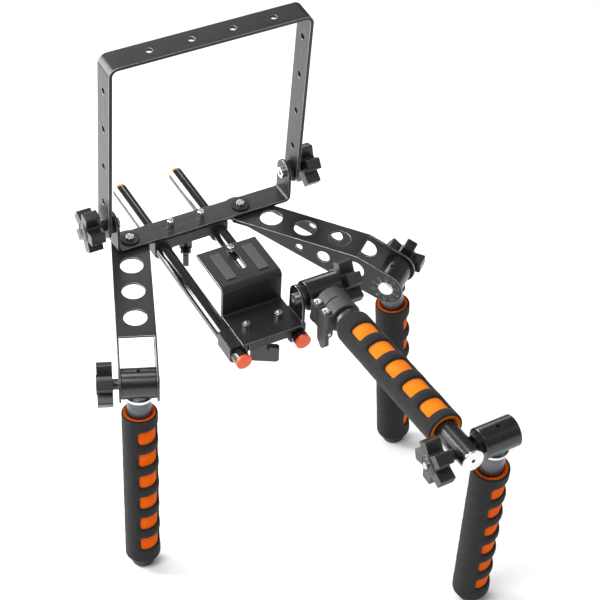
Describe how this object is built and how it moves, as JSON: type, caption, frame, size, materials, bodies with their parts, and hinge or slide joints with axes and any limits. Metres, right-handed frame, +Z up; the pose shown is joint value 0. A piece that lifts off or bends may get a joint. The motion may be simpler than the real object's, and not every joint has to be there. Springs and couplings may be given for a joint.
{
  "type": "cinema camera rig",
  "caption": "Hand-held camera rig on a rod pair: slotted camera plate, tilting cage frame, two swivelling channel arms with foam grips and a telescoping tail grip.",
  "frame": {"origin": "centre of the bounding box on the floor, with the rig standing on its three handle feet", "axes": "+Y forward along the rods in plan, +X to the right, +Z up; the rods pitch up towards the front by about 14 degrees"},
  "size_m": [0.3592, 0.4996, 0.4895],
  "materials": {
    "black_alloy": "satin black anodised",
    "grey_alloy": "satin dark grey",
    "bright_steel": "bright nickel plate",
    "dark_steel": "blackened steel",
    "black_plastic": "satin black moulded plastic",
    "grey_plastic": "fine-textured grey plastic",
    "black_foam": "matte cellular foam",
    "orange_foam": "smooth orange foam",
    "pad_rubber": "ribbed matte rubber",
    "cap_red": "orange-red anodised",
    "cap_gold": "gold-orange anodised"
  },
  "bodies": {
    "rail": {"rods": "black_alloy", "rod_caps_near": "cap_red", "rod_caps_far": "cap_gold"},
    "bridge": {"bridge_clamp": "black_alloy", "crossbar": "black_alloy", "crossbar_studs": "bright_steel", "arm_pivot_bolts": "bright_steel", "arm_pivot_washers": "dark_steel", "frame_pivot_bolts": "bright_steel", "frame_pivot_washers": "dark_steel"},
    "bridge_lever": {"bridge_wing_lever": "black_plastic"},
    "cage": {"cage_frame": "black_alloy"},
    "cage_left_knob": {"frame_knob_left": "black_plastic"},
    "cage_right_knob": {"frame_knob_right": "black_plastic"},
    "plate": {"plate_bracket": "black_alloy", "plate_clamp": "black_alloy", "plate_screws": "bright_steel", "plate_pads": "pad_rubber", "tail_pivot_bolt": "bright_steel", "tail_pivot_washers": "dark_steel"},
    "plate_lever": {"plate_wing_lever": "black_plastic"},
    "camera_stud": {"camera_screw": "bright_steel", "camera_screw_knob": "dark_steel"},
    "tail_base": {"tail_hub": "black_alloy", "tail_inner_tube": "grey_alloy"},
    "tail_base_knob": {"tail_knob": "black_plastic"},
    "tail": {"lock_collar": "grey_plastic", "lock_bolts": "bright_steel", "lock_pin": "bright_steel", "tail_tube": "black_alloy", "tail_ring": "black_plastic", "tail_grip_core": "orange_foam", "tail_grip_sleeve": "black_foam", "tail_end_disc": "bright_steel"},
    "lock_flap": {"lock_lever": "grey_plastic"},
    "end_grip": {"end_pivot_bolt": "bright_steel", "end_washer": "dark_steel", "end_hub": "black_alloy", "end_handle_tube": "grey_alloy", "end_grip_core": "orange_foam", "end_grip_sleeve": "black_foam", "end_foot": "black_plastic"},
    "end_grip_knob": {"end_knob": "black_plastic"},
    "left_arm": {"left_arm_channel": "black_alloy", "left_hub_bolt": "bright_steel"},
    "left_grip": {"left_hub": "black_alloy", "left_handle_tube": "grey_alloy", "left_grip_core": "orange_foam", "left_grip_sleeve": "black_foam", "left_foot": "black_plastic"},
    "left_grip_knob": {"left_knob": "black_plastic"},
    "right_arm": {"right_arm_channel": "black_alloy", "right_hub_bolt": "bright_steel"},
    "right_grip": {"right_hub": "black_alloy", "right_handle_tube": "grey_alloy", "right_grip_core": "orange_foam", "right_grip_sleeve": "black_foam", "right_foot": "black_plastic"},
    "right_grip_knob": {"right_knob": "black_plastic"}
  },
  "joints": [
    {"name": "bridge_slide", "type": "slide", "parent": "rail", "child": "bridge", "axis": [0.0067, 0.9668, 0.2555], "range_m": [-0.03, 0.05]},
    {"name": "bridge_lever_turn", "type": "hinge", "parent": "bridge", "child": "bridge_lever", "pos_m": [-0.01857, 0.1647, 0.26336], "axis": [0.0252, -0.2556, 0.9665], "continuous": true},
    {"name": "cage_tilt", "type": "hinge", "parent": "bridge", "child": "cage", "pos_m": [-0.01756, 0.15447, 0.30202], "axis": [0.9997, 0, -0.0261], "range_deg": [-90, 70]},
    {"name": "cage_left_knob_turn", "type": "hinge", "parent": "bridge", "child": "cage_left_knob", "pos_m": [-0.10204, 0.15447, 0.30422], "axis": [0.9997, 0, -0.0261], "continuous": true},
    {"name": "cage_right_knob_turn", "type": "hinge", "parent": "bridge", "child": "cage_right_knob", "pos_m": [0.0975, 0.15447, 0.29901], "axis": [0.9997, 0, -0.0261], "continuous": true},
    {"name": "left_arm_swivel", "type": "hinge", "parent": "bridge", "child": "left_arm", "pos_m": [-0.07629, 0.16204, 0.27492], "axis": [0.0252, -0.2556, 0.9665], "range_deg": [-60, 12]},
    {"name": "left_grip_swing", "type": "hinge", "parent": "left_arm", "child": "left_grip", "pos_m": [-0.13767, 0.02688, 0.2116], "axis": [0.9239, -0.3633, -0.1202], "range_deg": [-80, 45]},
    {"name": "left_grip_knob_turn", "type": "hinge", "parent": "left_arm", "child": "left_grip_knob", "pos_m": [-0.13767, 0.02688, 0.2116], "axis": [0.9239, -0.3633, -0.1202], "continuous": true},
    {"name": "right_arm_swivel", "type": "hinge", "parent": "bridge", "child": "right_arm", "pos_m": [0.03967, 0.16204, 0.2719], "axis": [0.0252, -0.2556, 0.9665], "range_deg": [-12, 50]},
    {"name": "right_grip_swing", "type": "hinge", "parent": "right_arm", "child": "right_grip", "pos_m": [0.13804, 0.04981, 0.21047], "axis": [0.7814, 0.608, 0.1404], "range_deg": [-80, 45]},
    {"name": "right_grip_knob_turn", "type": "hinge", "parent": "right_arm", "child": "right_grip_knob", "pos_m": [0.13804, 0.04981, 0.21047], "axis": [0.7814, 0.608, 0.1404], "continuous": true},
    {"name": "plate_slide", "type": "slide", "parent": "rail", "child": "plate", "axis": [0.0067, 0.9668, 0.2555], "range_m": [-0.004, 0.04]},
    {"name": "plate_lever_turn", "type": "hinge", "parent": "plate", "child": "plate_lever", "pos_m": [-0.01962, 0.01291, 0.22324], "axis": [0.0252, -0.2556, 0.9665], "continuous": true},
    {"name": "camera_screw_slide", "type": "slide", "parent": "plate", "child": "camera_stud", "axis": [0.0067, 0.9668, 0.2555], "range_m": [-0.022, 0]},
    {"name": "tail_swing", "type": "hinge", "parent": "plate", "child": "tail_base", "pos_m": [0.04016, 0.00534, 0.25228], "axis": [0.9997, 0, -0.0261], "range_deg": [-80, 60]},
    {"name": "tail_knob_turn", "type": "hinge", "parent": "plate", "child": "tail_base_knob", "pos_m": [0.04016, 0.00534, 0.25228], "axis": [0.9997, 0, -0.0261], "continuous": true},
    {"name": "tail_extend", "type": "slide", "parent": "tail_base", "child": "tail", "axis": [-0.0045, -0.9849, -0.1732], "range_m": [0, 0.09]},
    {"name": "lock_lever_flip", "type": "hinge", "parent": "tail", "child": "lock_flap", "pos_m": [0.0232, -0.02302, 0.23503], "axis": [0.0045, 0.9849, 0.1732], "range_deg": [0, 100]},
    {"name": "end_grip_swing", "type": "hinge", "parent": "tail", "child": "end_grip", "pos_m": [0.03907, -0.23103, 0.21071], "axis": [1, -0.006, 0.0078], "range_deg": [-80, 50]},
    {"name": "end_knob_turn", "type": "hinge", "parent": "end_grip", "child": "end_grip_knob", "pos_m": [0.03907, -0.23103, 0.21071], "axis": [1, -0.006, 0.0078], "continuous": true}
  ]
}
